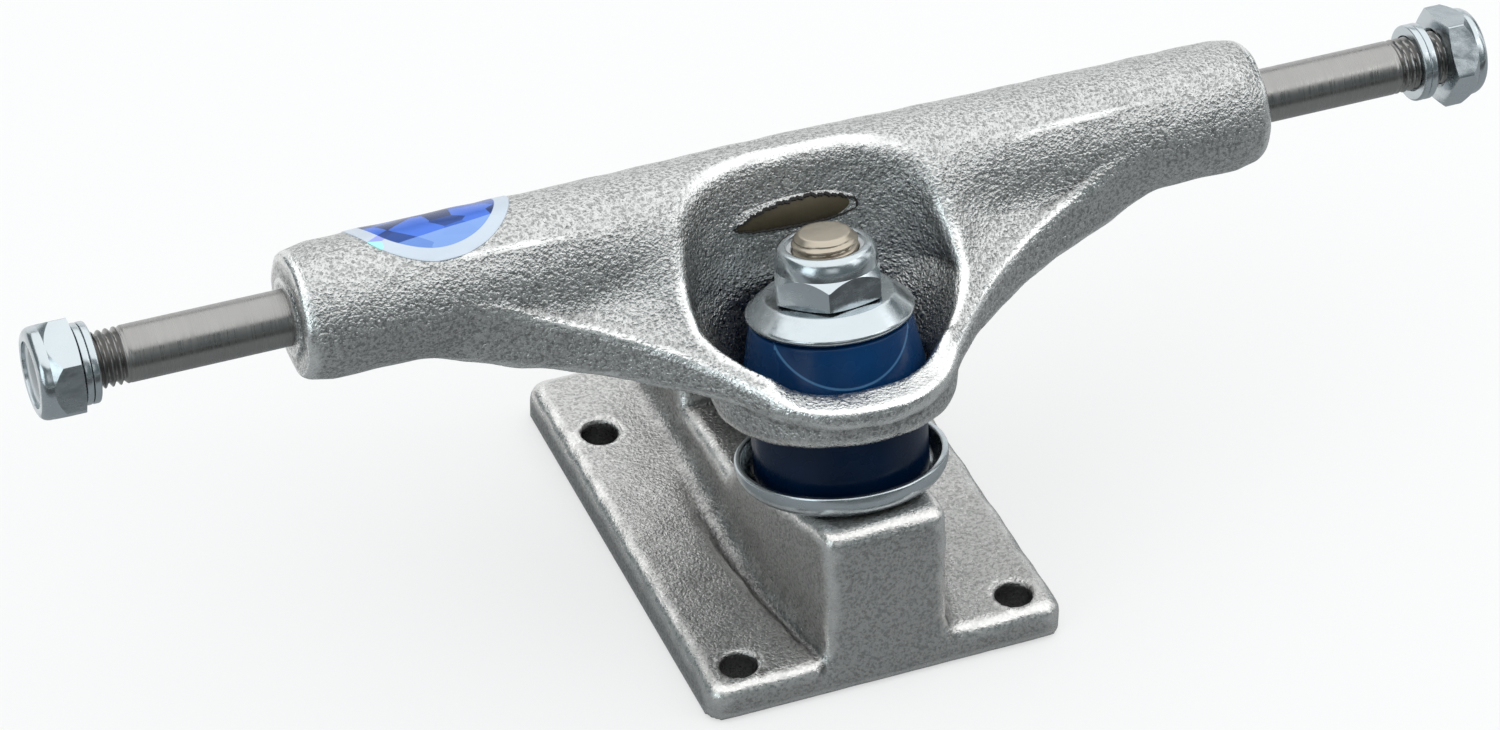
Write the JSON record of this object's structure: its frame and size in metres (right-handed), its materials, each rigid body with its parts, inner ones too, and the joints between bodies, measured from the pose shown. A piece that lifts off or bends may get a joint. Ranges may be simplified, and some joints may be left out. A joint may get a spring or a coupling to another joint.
{
  "type": "skateboard truck",
  "caption": "Cast skateboard truck: a baseplate with a tilted kingpin carries a winged hanger that leans on urethane bushings and holds a solid axle with lock nuts.",
  "frame": {"origin": "centre of the deck bolt hole pattern on the underside of the baseplate", "axes": "+X runs along the axle, to the right seen from the kingpin end; -Y points to the kingpin end and +Y to the pivot end; +Z points away from the deck"},
  "size_m": [0.2137, 0.0745, 0.0619],
  "materials": {
    "cast_hanger": "as cast, tumbled, satin",
    "cast_base": "as cast, tumbled, satin",
    "urethane": "glossy, slightly translucent",
    "plated_steel": "bright zinc plate",
    "kingpin_steel": "plain, warm grey",
    "axle_steel": "ground, bare steel",
    "nylon": "matt",
    "cup_plastic": "matt",
    "sticker_vinyl": "glossy, prismatic"
  },
  "bodies": {
    "base": {"baseplate": "cast_base", "pivot_cup": "cup_plastic", "kingpin": "kingpin_steel", "lower_cup_washer": "plated_steel", "lower_bushing": "urethane", "upper_bushing": "urethane", "upper_cup_washer": "plated_steel"},
    "hanger": {"hanger": "cast_hanger", "axle": "axle_steel", "sticker": "sticker_vinyl"},
    "kingpin_nut": {"kingpin_nut": "plated_steel", "kingpin_nut_insert": "nylon"},
    "left_outer_washer": {"left_outer_washer": "plated_steel"},
    "left_axle_nut": {"left_axle_nut": "plated_steel", "left_nut_insert": "nylon"},
    "left_inner_washer": {"left_inner_washer": "plated_steel"},
    "right_outer_washer": {"right_outer_washer": "plated_steel"},
    "right_axle_nut": {"right_axle_nut": "plated_steel", "right_nut_insert": "nylon"},
    "right_inner_washer": {"right_inner_washer": "plated_steel"}
  },
  "joints": [
    {"name": "hanger_lean", "type": "hinge", "parent": "base", "child": "hanger", "pos_m": [0, 0.03, 0.016], "axis": [0, -0.8872, 0.4614], "range_deg": [-20, 20], "stiffness_Nm_per_rad": 30, "deforming": ["lower_bushing", "upper_bushing"]},
    {"name": "kingpin_nut_spin", "type": "hinge", "parent": "base", "child": "kingpin_nut", "pos_m": [0, -0.0067, 0.04924], "axis": [0, 0.2462, 0.9692], "continuous": true},
    {"name": "left_nut_travel", "type": "slide", "parent": "hanger", "child": "left_outer_washer", "axis": [-1, 0, 0], "range_m": [0, 0.06]},
    {"name": "left_nut_spin", "type": "hinge", "parent": "left_outer_washer", "child": "left_axle_nut", "pos_m": [-0.101, 0.0099, 0.0524], "axis": [-1, 0, 0], "continuous": true},
    {"name": "left_washer_slide", "type": "slide", "parent": "left_outer_washer", "child": "left_inner_washer", "axis": [1, 0, 0], "range_m": [0, 0.0265]},
    {"name": "right_nut_travel", "type": "slide", "parent": "hanger", "child": "right_outer_washer", "axis": [1, 0, 0], "range_m": [0, 0.06]},
    {"name": "right_nut_spin", "type": "hinge", "parent": "right_outer_washer", "child": "right_axle_nut", "pos_m": [0.101, 0.0099, 0.0524], "axis": [1, 0, 0], "continuous": true},
    {"name": "right_washer_slide", "type": "slide", "parent": "right_outer_washer", "child": "right_inner_washer", "axis": [-1, 0, 0], "range_m": [0, 0.0254]}
  ]
}
